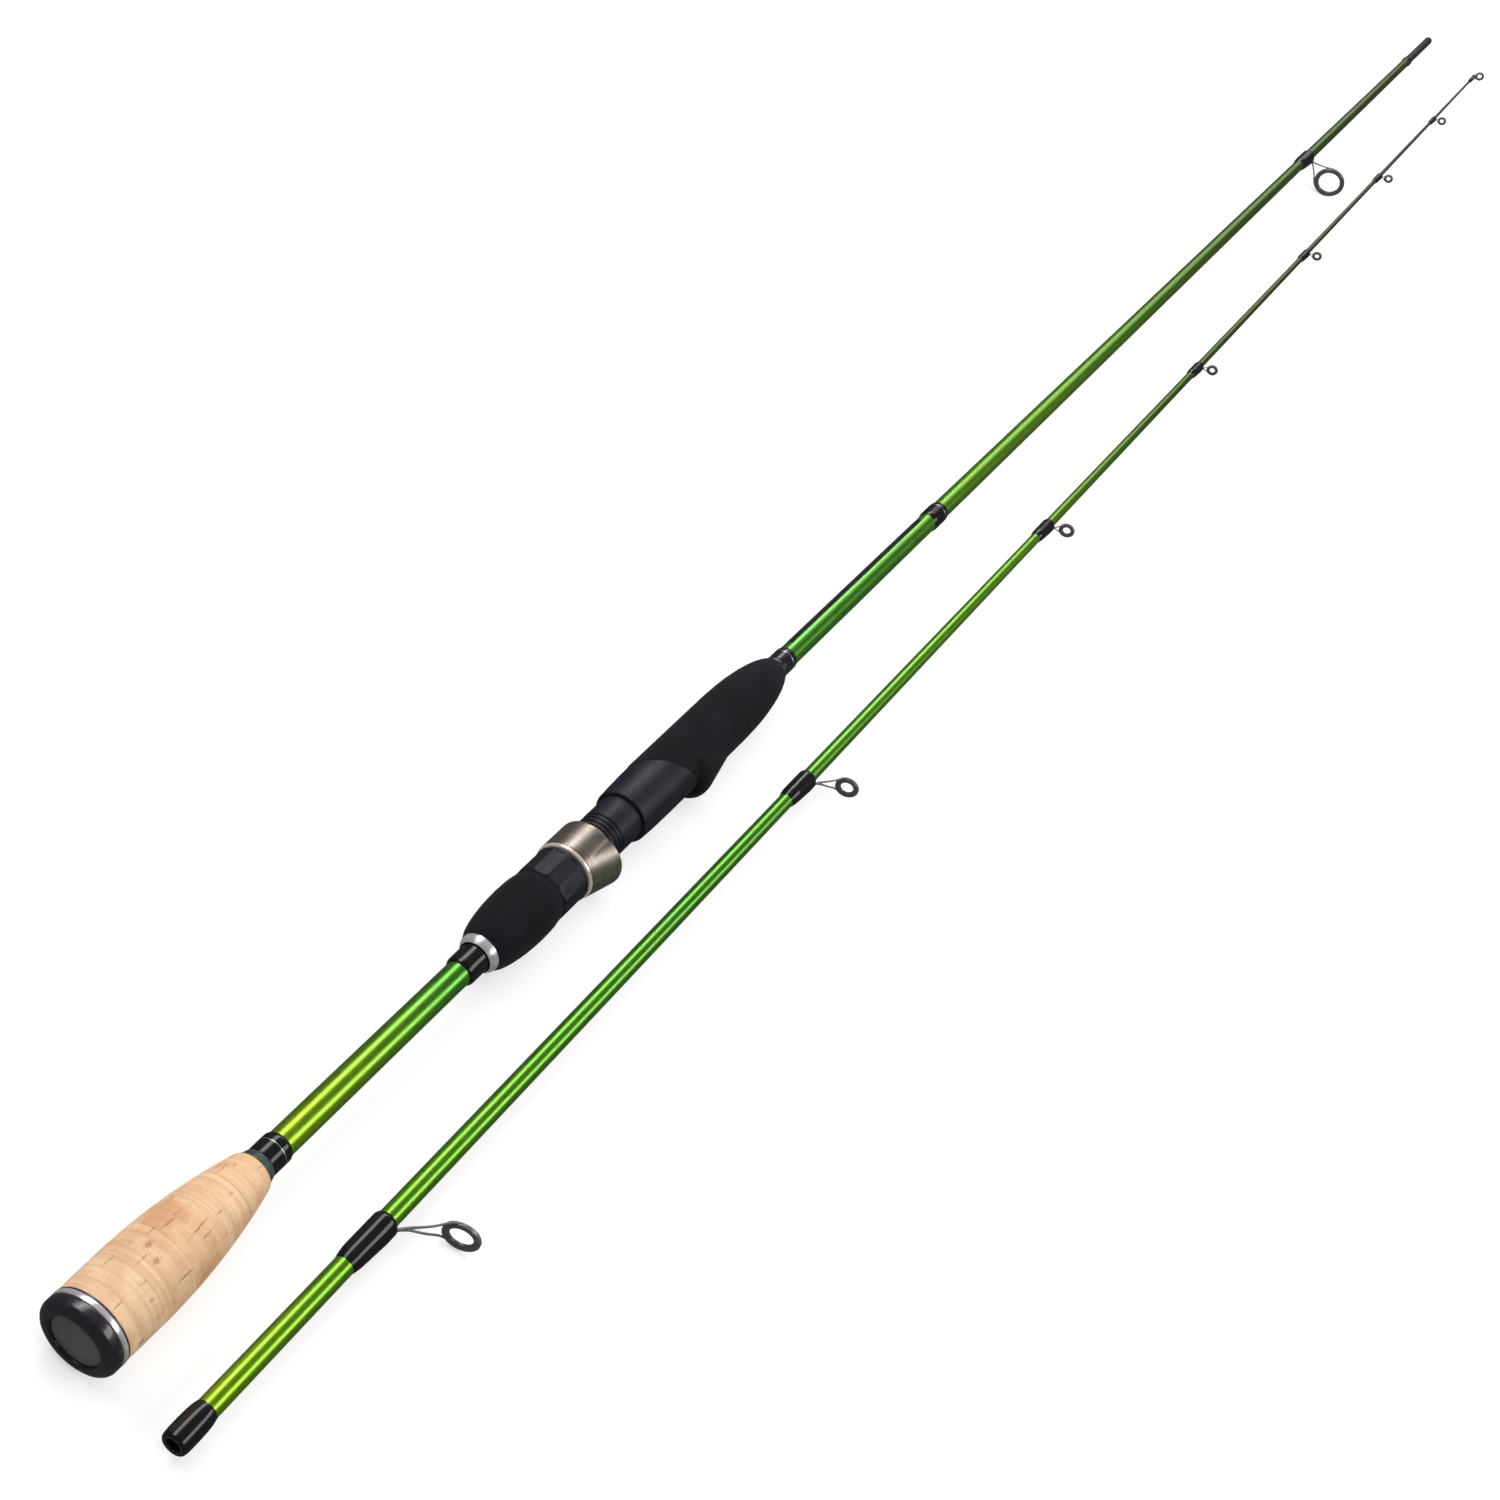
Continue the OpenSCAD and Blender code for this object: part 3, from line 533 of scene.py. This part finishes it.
def build_cork():
    pitch = (CORK_END - CORK_START) / CORK_RINGS
    steps = 36
    for i in range(CORK_RINGS):
        x0, x1 = CORK_START + i * pitch, CORK_START + (i + 1) * pitch
        line = [(x0, 4.8), (x0, cork_radius(x0) - 0.05)]
        line += [(x0 + 0.08 + (x1 - x0 - 0.16) * k / steps, cork_radius(x0 + (x1 - x0) * k / steps))
                 for k in range(steps + 1)]
        line += [(x1, cork_radius(x1) - 0.05), (x1, 4.8)]
        if i == CORK_RINGS - 1:
            line = line[:-8] + [(x1 - 1.5, 7.25), (x1 - 0.9, 7.05), (x1 - 0.4, 6.75), (x1 - 0.1, 6.35),
                                (x1, 5.9), (x1, 4.8)]
        obj = turned(line, 240, loop=True)
        open_pores(obj, x0, x1, 11 + i)
        fit(obj, f"cork_disc_{i + 1}", "butt_section", "cork", CORK, f"cork_ring_{i + 1}",
            angle=math.radians(60))


# ------------------------------------------------------------------ wraps, checks and blanks


def wrap_line(x0, x1, r0, r1, build, front=3.0, back=3.0):
    """Outline of a thread wrap under epoxy, with long run-outs, from one end to the other."""
    points = []
    steps = 26
    for k in range(steps + 1):
        x = x0 + (x1 - x0) * k / steps
        body = r0 + (r1 - r0) * k / steps
        edge = min(1.0, (x - x0) / back, (x1 - x) / front)
        points.append((x, body + 0.02 + build * math.sin(max(0.0, edge) * math.pi / 2) ** 0.8))
    return [(x0, r0 - 0.3)] + points + [(x1, r1 - 0.3)]


def band(name, x, width, r, body, material):
    """One bright turn or two of trim thread, proud of the wrap by a hair."""
    line = [(x, r - 0.3), (x, r - 0.04), (x + width * 0.25, r + 0.03), (x + width * 0.75, r + 0.03),
            (x + width, r - 0.04), (x + width, r - 0.3)]
    fit(turned(line, 64, loop=True), name, body, "thread_wrap", material)


def build_butt_wraps():
    check = [(72.0, 4.8), (72.0, 6.0), (72.2, 6.2), (72.5, 6.22), (73.0, 6.0), (74.6, 5.55), (75.0, 5.4),
             (75.0, 4.8)]
    fit(turned(check, loop=True), "cork_front_check", "butt_section", "winding_check", CHECK_GREY,
        "cork_check")
    fit(turned(wrap_line(75, 84, 4.65, 4.65, 0.6, 1.6, 0.6), 64), "cork_front_wrap", "butt_section",
        "thread_wrap", BLACK_WRAP, "cork_wrap")
    band("cork_front_wrap_line", 80.2, 0.55, 5.25, "butt_section", TRIM_THREAD)
    fit(turned(wrap_line(171, 182, 4.6, 4.6, 0.75, 0.8, 1.8), 64), "rear_grip_wrap", "butt_section",
        "thread_wrap", BLACK_WRAP, "rear_wrap")
    band("rear_grip_wrap_line", 174.6, 0.6, 5.33, "butt_section", TRIM_THREAD)
    check = [(373.0, 4.3), (373.0, 5.15), (373.15, 5.3), (373.5, 5.33), (374.2, 5.15), (374.9, 4.95),
             (375.0, 4.8), (375.0, 4.3)]
    fit(turned(check, loop=True), "foregrip_check", "butt_section", "polished_trim", GUNMETAL,
        "front_check")
    fit(turned(wrap_line(375, 384, 4.24, 4.21, 0.45, 1.5, 0.5), 64), "foregrip_wrap", "butt_section",
        "thread_wrap", NAVY_WRAP, "front_wrap")
    band("foregrip_wrap_line", 380.6, 0.5, 4.68, "butt_section", SILVER_THREAD)
    fit(turned(wrap_line(504, 516, 3.98, 3.95, 0.5, 2.0, 2.0), 64), "blank_ring_wrap", "butt_section",
        "thread_wrap", BLACK_WRAP, "ring_wrap")
    for i, x in enumerate((506.3, 512.7)):
        band(f"blank_ring_wrap_line_{i + 1}", x, 0.55, 4.46, "butt_section", SILVER_THREAD)


def build_blanks():
    butt = [(4, 4.65), (60, 4.65), (100, 4.65), (200, 4.5), (300, 4.35), (400, 4.2)]
    butt += [(400 + k * 78.9, 4.2 - k * 0.17) for k in range(1, 11)]
    fit(turned(butt, 64), "butt_blank_tube", "butt_section", "green_blank", BUTT_GREEN, "butt_blank")
    tip = [(12, 2.5), (12, 3.4), (12.1, 3.52), (14, 3.52), (100, 3.34), (200, 3.13), (290, 2.95),
           (400, 2.642), (540, 2.25), (665, 1.975), (790, 1.7), (900, 1.451), (1020, 1.18),
           (1140, 0.909), (1249, 0.66)]
    fit(turned(tip, 48), "tip_blank_tube", "tip_section", "green_blank", TIP_GREEN, "tip_blank")
    sleeve = [(0.0, 3.3), (0.0, 3.6), (0.35, 3.95), (1.2, 4.17), (3.0, 4.28), (6.5, 4.3), (9.5, 4.2),
              (11.5, 4.02), (12.8, 3.8), (13.5, 3.6), (13.5, 3.3)]
    bore = [(50, 2.38), (0.4, 2.43), (0.1, 2.5), (0, 2.65), (0, 3.4), (12.05, 3.4), (12.05, 2.6), (50, 2.6)]
    fit(turned(bore, 48, loop=True), "ferrule_bore_liner", "tip_section", "graphite", GRAPHITE)
    fit(turned(sleeve, 64, loop=True), "ferrule_mouth_sleeve", "tip_section", "thread_wrap", BLACK_WRAP,
        "ferrule_sleeve")
    panel = turned([(388, 4.0), (388, 4.24), (392, 4.25), (440, 4.16), (497, 4.03), (499, 4.0), (499, 3.8)],
                   96, loop=True)
    cut(panel, block(380, 510, -3.1, 3.1, 0, 6), "INTERSECT")
    fit(panel, "blank_label_panel", "butt_section", "thread_wrap", PANEL)
    spigot = [(1150, 1.35), (1189, 1.35), (1189.05, 2.4), (1233.6, 2.4), (1234.3, 2.3), (1234.8, 1.95),
              (1235, 1.4)]
    fit(turned(spigot, 48), "spigot_plug", "butt_section", "graphite", GRAPHITE, "spigot")
    fit(turned(wrap_line(1184, 1189, 2.52, 2.5, 0.35, 1.0, 1.0), 48), "spigot_stop", "butt_section",
        "thread_wrap", BLACK_WRAP, "spigot_stop_wrap")


# ------------------------------------------------------------------ rear grip, nut and hood


def build_nut():
    cone = [(180, 5.8), (180, 5.95), (180.15, 6.05), (180.9, 6.5), (181.7, 6.95), (182.4, 7.18), (183, 7.2),
            (183, 5.8)]
    fit(turned(cone, 96, loop=True), "rear_grip_bright_cone", "nut", "polished_trim", BRIGHT,
        "rear_grip_cone")
    grip = [(183, 5.2), (183, 7.1), (183.3, 7.35), (184.4, 7.95), (186, 8.7), (188.5, 9.4), (192, 10.05),
            (196, 10.55), (200, 10.85), (204, 11), (208, 10.95), (211, 10.8), (213.5, 10.45),
            (215.2, 10.1), (216, 9.75), (216, 9.68), (195.4, 9.68), (195.4, 5.2)]
    fit(turned(grip, 96, loop=True), "rear_grip_foam", "nut", "foam", FOAM, "rear_foam_grip")
    bpy.ops.object.select_all(action="DESELECT")
    bpy.ops.mesh.primitive_cylinder_add(vertices=12, radius=10.62 * MM, depth=12.6 * MM,
                                        location=(222.9 * MM, 0, 0), rotation=(0, math.pi / 2, 0))
    nut = bpy.context.object
    bpy.ops.object.transform_apply(location=True, rotation=True, scale=True)
    moved(nut, Matrix.Rotation(math.radians(8), 4, "X"))
    collar = turned([(216.0, 9.7), (216.0, 9.9), (216.3, 10.15), (217.6, 10.3), (217.7, 10.3),
                     (217.9, 9.9)], 96)
    front = turned([(228.2, 9.9), (228.4, 10.35), (228.6, 10.5), (229.5, 10.5), (229.85, 10.3),
                    (229.9, 10.0)], 96)
    bevelled(nut, 0.35, 2)
    cut(nut, collar, "UNION")
    cut(nut, front, "UNION")
    cut(nut, turned([(190, 8.82), (235, 8.82)], 96))
    sleeve = turned([(194.6, 5.1), (194.6, 9.6), (216.6, 9.6), (216.6, 8.8), (195.5, 8.8), (195.5, 5.1)],
                    96, loop=True)
    cut(nut, sleeve, "UNION")
    fit(nut, "lock_nut_barrel", "nut", "nut_plastic", NUT, "lock_nut", angle=math.radians(25))


def build_hood():
    ring = [(230.15, 8.85), (230.15, 10.35), (230.4, 10.75), (230.9, 11.05), (231.3, 11.1), (231.4, 11.0),
            (231.4, 8.85)]
    fit(turned(ring, 96, loop=True), "bright_bevel_ring", "hood", "bright_ring", GOLD_RING, "slip_ring")
    body = turned([(231.45, 10.9), (231.7, 11.08), (232.2, 11.12), (245.0, 11.12), (245.6, 11.0),
                   (246, 10.6)], 128)
    skirt = moved(turned([(-6, 10.95), (12, 11.0), (16.2, 11.0), (17.2, 10.6), (17.6, 10.0)], 128),
                  Matrix.Translation((231.5 * MM, 0, 0)) @ Matrix.Rotation(math.radians(12.4), 4, "Y"))
    cut(skirt, block(231.5, 246, -20, 20, -20, 20), "INTERSECT")
    cut(body, skirt, "UNION")
    remeshed(body, 0.22, 20)
    cut(body, turned([(228, 8.85), (250, 8.85)], 128))
    pocket = moved(turned([(235.4, 5.6), (243, 7.6), (250, 7.6)], 96),
                   Matrix.Translation((0, 0, -5.4 * MM)))
    cut(pocket, block(230, 255, -12, 12, -10.0, 12))
    cut(body, pocket)
    fit(body, "hood_shell", "hood", "hood_metal", HOOD, "moving_hood")


# ------------------------------------------------------------------ reel seat and foregrip

CUT_X, CUT_TILT = 293.0, math.radians(36)  # where and how steeply the foam is cut over the seat


def oblique_block(ahead, gap):
    """Everything ahead of (or behind) the oblique line where the foam begins."""
    x0, x1 = (0, 140) if ahead else (-140, 0)
    tool = block(x0, x1, -40, 40, -70, 70)
    return moved(tool, Matrix.Translation(((CUT_X + gap) * MM, 0, 0)) @ Matrix.Rotation(-CUT_TILT, 4, "Y"))


def build_seat():
    line = [(214, 6.0), (214, 8.3), (214.4, 8.65), (215, 8.75), (246.2, 8.75)]
    for k in range(4):
        x = 247.2 + k * 2.0
        line += [(x, 8.75), (x + 0.25, 8.7), (x + 0.45, 8.3), (x + 0.75, 8.2), (x + 1.05, 8.3),
                 (x + 1.25, 8.7), (x + 1.5, 8.75)]
    line += [(265.6, 8.75), (265.9, 8.75), (265.95, 9.75), (266.15, 10.0), (266.6, 10.12), (272, 10.4),
             (280, 10.7), (290, 10.8), (302, 10.8), (302, 8.6), (345, 8.6), (345, 6.0)]
    seat = turned(line, 128, loop=True)
    cut(seat, block(222, 262, -1.2, 1.2, 7.65, 12))
    cut(seat, block(267, 303, -10, 10, -14, -10.3))
    bevelled(seat, 0.06, 1, 50)
    fit(seat, "reel_seat_moulded", "butt_section", "seat_plastic", SEAT, "reel_seat_body")


def build_foregrip():
    body = turned([(262, 10.88), (300, 10.98), (330, 11.0), (337, 10.98), (345, 10.75), (350, 10.42),
                   (355, 9.9), (359, 9.35), (362.5, 8.75), (365.5, 8.1), (368, 7.45), (370, 6.8),
                   (371.6, 6.15), (372.6, 5.7), (373, 5.3)], 128)
    cut(body, oblique_block(False, 0.0))
    hump = turned([(299.9, 5.0), (300.1, 8.9), (301, 10.0), (302.5, 10.8), (304, 11.0), (306, 10.9),
                   (325, 7.3), (328, 7.0)], 128)
    moved(hump, Matrix.Translation((0, 0, -3.4 * MM)))
    cut(body, hump, "UNION")
    remeshed(body, 0.32, 5)
    fit(body, "foregrip_foam", "butt_section", "foam", FOAM, "foregrip")


# ------------------------------------------------------------------ guides

LEAN = math.radians(12)  # guide rings lean towards the butt
BAND = 0.45  # width of the metal band round an insert


def ring_matrix(x, rise):
    return Matrix.Translation((x * MM, 0, -rise * MM)) @ Matrix.Rotation(-LEAN, 4, "Y")


def ring_thickness(radius):
    return 0.9 + radius * 0.16


def rounded_bore(thickness, start, depth):
    """The inner half of an insert's section: half an ellipse from one face to the other."""
    angles = [math.pi / 2 - k * math.pi / 8 for k in range(9)]
    return [(thickness * 0.5 * math.sin(a), start - depth * math.cos(a)) for a in angles]


def rim_outline(half, radius, corner):
    """The metal band round an insert, half a width to each side, with eased outer corners."""
    return [(-half, radius - BAND), (-half, radius - corner), (-half * 0.6, radius),
            (half * 0.6, radius), (half, radius - corner), (half, radius - BAND)]


def build_guide(label, body, exit_x, reach, rise, radius, wall, wire, r_blank, wrap, nodes, sides=64):
    """A single-foot guide: insert, band, two arms that meet at the foot, and its wrap."""
    t = ring_thickness(radius)
    place = ring_matrix(exit_x + reach, rise)
    outer = radius - BAND + 0.02
    section = [(t * 0.36, outer), (t * 0.5, outer - 0.12 * wall), (t * 0.5, outer - 0.35 * wall)]
    section += rounded_bore(t, outer - 0.42 * wall, 0.58 * wall)
    section += [(-t * 0.5, outer - 0.35 * wall), (-t * 0.5, outer - 0.12 * wall), (-t * 0.36, outer)]
    insert = moved(turned(section, sides, loop=True), place)
    fit(insert, f"{label}_insert", body, "guide_insert", INSERT, nodes[1], angle=math.radians(60))

    parts = [moved(turned(rim_outline(t * 0.31, radius, 0.12), sides, loop=True), place)]
    grip = radius - BAND * 0.35
    lift = r_blank + 0.35
    apex = Vector((exit_x + reach * 0.16, 0, -lift - (rise - radius - lift) * 0.14))
    for side in (-1, 1):
        def on_ring(angle, r):
            a = math.radians(angle)
            return place @ Vector((0, side * r * math.sin(a) * MM, r * math.cos(a) * MM)) / MM

        touch, after = on_ring(60, grip + 0.05), on_ring(84, grip)
        half = (apex + touch) / 2 + Vector((0, -side * radius * 0.03, 0))
        fork = apex + Vector((0, side * wire * 0.3, 0))
        points = [(exit_x - 9, side * wire * 0.12, -r_blank - 0.12, 0.55),
                  (exit_x - 3, side * wire * 0.16, -r_blank - 0.28, 0.9),
                  (exit_x, side * wire * 0.2, -lift, 1.0), (*fork, 1.0),
                  (*half, 0.82), (*touch, 0.8), (*after, 0.55)]
        parts.append(strip(points, wire * 0.8))
    fit(joined(*parts), f"{label}_stamped_frame", body, "guide_frame", FRAME_METAL, nodes[0],
        angle=math.radians(60))

    wrap_len, r0, r1, build, material = wrap
    obj = turned(wrap_line(exit_x - wrap_len, exit_x + 1.2, r0, r1, build, 1.6, wrap_len * 0.3), 64)
    for v in obj.data.vertices:
        x, z = v.co.x / MM, v.co.z
        under = max(0.0, -z / math.hypot(v.co.y, z))
        ramp = min(1.0, max(0.0, (x - exit_x + wrap_len * 0.75) / (wrap_len * 0.5)),
                   max(0.0, (exit_x + 1.4 - x) / 1.2))
        v.co.z -= under ** 3 * ramp * 0.5 * wire * MM
    fit(obj, f"{label}_wrap_epoxy", body, "thread_wrap", material, nodes[2])


def tip_radius(x):
    """Radius of the tip blank at a station, in mm."""
    stops = [(0, 3.55), (290, 2.95), (540, 2.25), (790, 1.7), (1249, 0.65)]
    for (xa, ra), (xb, rb) in zip(stops, stops[1:]):
        if x <= xb:
            return ra + (rb - ra) * (x - xa) / (xb - xa)
    return stops[-1][1]


def build_guides():
    def butt_radius(x):
        """Radius of the butt blank ahead of the foregrip, in mm."""
        return 4.2 - (x - 400) * 1.7 / 789

    build_guide("stripper", "butt_section", 995, 1, 19, 8.5, 2.2, 1.2, butt_radius(985),
                (17, butt_radius(978), butt_radius(996), 0.75, BLACK_WRAP),
                ("stripper_frame", "stripper_ring", "stripper_wrap"), 96)
    # exit of the wrap, reach ahead of it, rise, outer radius, ring wall, wire and wrap length, in mm
    table = [(91, 14, 19, 6.3, 2, 1.2, 19), (346, 11, 13, 4.6, 1.8, 1, 16),
             (566, 6, 7.6, 3.5, 1.4, 0.8, 14), (750, 5.5, 6.2, 2.8, 1.1, 0.7, 12.5),
             (914, 5, 5.4, 2.6, 1, 0.6, 11.5), (1046, 4.8, 4.9, 2.6, 1, 0.6, 11),
             (1158, 4.6, 4.6, 2.6, 1, 0.6, 10.5)]
    for i, (exit_x, reach, rise, radius, wall, wire, wrap_len) in enumerate(table, 1):
        names = tuple(f"guide_{i}_{part}" for part in ("frame", "ring", "wrap"))
        build, sides = (0.75, 64) if i < 3 else (0.55, 40)
        wrap = (wrap_len, tip_radius(exit_x - wrap_len), tip_radius(exit_x + 1), build, BLACK_WRAP)
        build_guide(f"running_guide_{i}", "tip_section", exit_x, reach, rise, radius, wall, wire,
                    tip_radius(exit_x - 10), wrap, names, sides)
    band("running_guide_1_wrap_line", 75.4, 0.7, tip_radius(75) + 0.4, "tip_section", TRIM_THREAD)
    band("running_guide_2_wrap_line", 332.8, 0.6, tip_radius(333) + 0.42, "tip_section", SILVER_THREAD)


def build_tip_top():
    tube = [(1238, 0.95), (1238.2, 1.1), (1238.8, 1.25), (1249.2, 1.25), (1249.8, 1.15), (1250, 0.9)]
    fit(turned(tube, 40), "tip_top_socket", "tip_section", "thread_wrap", BLACK_WRAP, "tip_top_tube")
    place = ring_matrix(1255, 2.6)
    radius = 2.8
    t = ring_thickness(radius)
    outer = radius - BAND + 0.02
    section = [(t * 0.4, outer), (t * 0.5, outer - 0.2), *rounded_bore(t, outer - 0.45, 0.63),
               (-t * 0.5, outer - 0.2), (-t * 0.4, outer)]
    fit(moved(turned(section, 48, loop=True), place), "tip_top_insert", "tip_section", "guide_insert",
        INSERT, "tip_top_ring", angle=math.radians(60))
    parts = [moved(turned(rim_outline(0.45, radius, 0.1), 48, loop=True), place)]
    for side in (-1, 1):
        parts.append(strip([(1240.5, side * 1.2, 0, 0.7), (1244, side * 1.5, -0.15),
                            (1249, side * 1.75, -0.7), (1252.5, side * 2.2, -1.5),
                            (1254.6, side * 2.62, -2.2, 0.8)], 0.6))
    fit(joined(*parts), "tip_top_arms", "tip_section", "guide_frame", FRAME_METAL, "tip_top_frame",
        angle=math.radians(60))


def dress_hidden_nodes():
    """The solids that stay as they are get their finish in place of the plain one."""
    for node, material in (("rear_arbor", ARBOR), ("front_arbor", ARBOR), ("hood_cushion", CUSHION),
                           ("fixed_hood", SEAT)):
        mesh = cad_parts[node].data
        mesh.materials.clear()
        mesh.materials.append(material)


build_cap()
build_cork()
build_butt_wraps()
build_blanks()
build_nut()
build_hood()
build_seat()
build_foregrip()
build_guides()
build_tip_top()
dress_hidden_nodes()

# ------------------------------------------------------------------ floor, light and camera


def facing(place, right, up, back):
    """The matrix of something that stands at a place and looks against its back axis."""
    return Matrix.Translation(place) @ Matrix((right, up, back)).transposed().to_4x4()


def softbox(name, place, aim, size_x, size_y, watts, mirrored=True):
    """A rectangular lamp with its long side along the rod."""
    light = bpy.data.lights.new(name, "AREA")
    light.shape, light.size, light.size_y, light.energy = "RECTANGLE", size_x, size_y, watts
    obj = bpy.data.objects.new(name, light)
    bpy.context.collection.objects.link(obj)
    away = (Vector(place) - Vector(aim)).normalized()
    up = away.cross(Vector((1, 0, 0))).normalized()
    obj.matrix_world = facing(place, up.cross(away).normalized(), up, away)
    obj.visible_glossy = mirrored


def build_studio():
    bpy.ops.object.select_all(action="DESELECT")
    bpy.ops.mesh.primitive_plane_add(size=14, location=(1.5, 0, -0.0002))
    floor = bpy.context.object
    floor.name = "studio_floor"
    f = Finish("pale_floor", Roughness=0.9, Base_Color=(0.45, 0.45, 0.45, 1), Emission_Color=(1, 1, 1, 1),
               Emission_Strength=0.6)
    f.shader.inputs["Specular IOR Level"].default_value = 0.0
    floor.data.materials.append(f.mat)
    floor.visible_glossy = False

    world = bpy.data.worlds.new("studio")
    bpy.context.scene.world = world
    world.use_nodes = True
    sky = world.node_tree.nodes["Background"]
    sky.inputs["Color"].default_value = (0.9, 0.95, 1.0, 1)
    # faint as a light, pale where it is seen past the edge of the floor
    seen = world.node_tree.nodes.new("ShaderNodeMapRange")
    seen.inputs["To Min"].default_value, seen.inputs["To Max"].default_value = 0.08, 0.95
    world.node_tree.links.new(world.node_tree.nodes.new("ShaderNodeLightPath").outputs["Is Camera Ray"],
                              seen.inputs["Value"])
    world.node_tree.links.new(seen.outputs["Result"], sky.inputs["Strength"])

    softbox("key_strip", (0.6, 1.35, 1.5), (0.4, 0, 0), 3.4, 1.0, 36)
    softbox("key_tube", (0.6, 1.33, 1.48), (0.4, 0, 0), 3.2, 0.08, 8)
    softbox("far_panel", (3.1, 0.9, 1.6), (0.8, 0, 0), 1.6, 1.8, 11)
    softbox("fill_strip", (0.1, -1.35, 1.3), (-0.4, 0, 0), 2.4, 0.7, 22)
    softbox("overhead", (0.2, 0.2, 3.0), (0.2, 0, 0), 3.0, 3.0, 66, mirrored=False)


def build_camera():
    """Stands behind and beside the butt cap and looks steeply down along the rods."""
    pitch, yaw, roll = math.radians(43.744), math.radians(6.883), math.radians(35.179)
    behind, aside, height = 0.27103, 0.08787, 0.59485
    ahead = Vector((math.cos(yaw) * math.cos(pitch), math.sin(yaw) * math.cos(pitch), -math.sin(pitch)))
    right = ahead.cross(Vector((0, 0, 1))).normalized()
    up = right.cross(ahead)
    right_rolled = math.cos(roll) * right + math.sin(roll) * up
    up_rolled = -math.sin(roll) * right + math.cos(roll) * up
    data = bpy.data.cameras.new("camera")
    data.sensor_width, data.lens, data.clip_start = 36, 55.924, 0.02
    cam = bpy.data.objects.new("camera", data)
    bpy.context.collection.objects.link(cam)
    place = Vector((BUTT.translation.x - behind, BUTT.translation.y - aside, height))
    cam.matrix_world = facing(place, right_rolled, up_rolled, -ahead)
    bpy.context.scene.camera = cam


build_studio()
build_camera()
bpy.context.scene.view_settings.view_transform = "Standard"
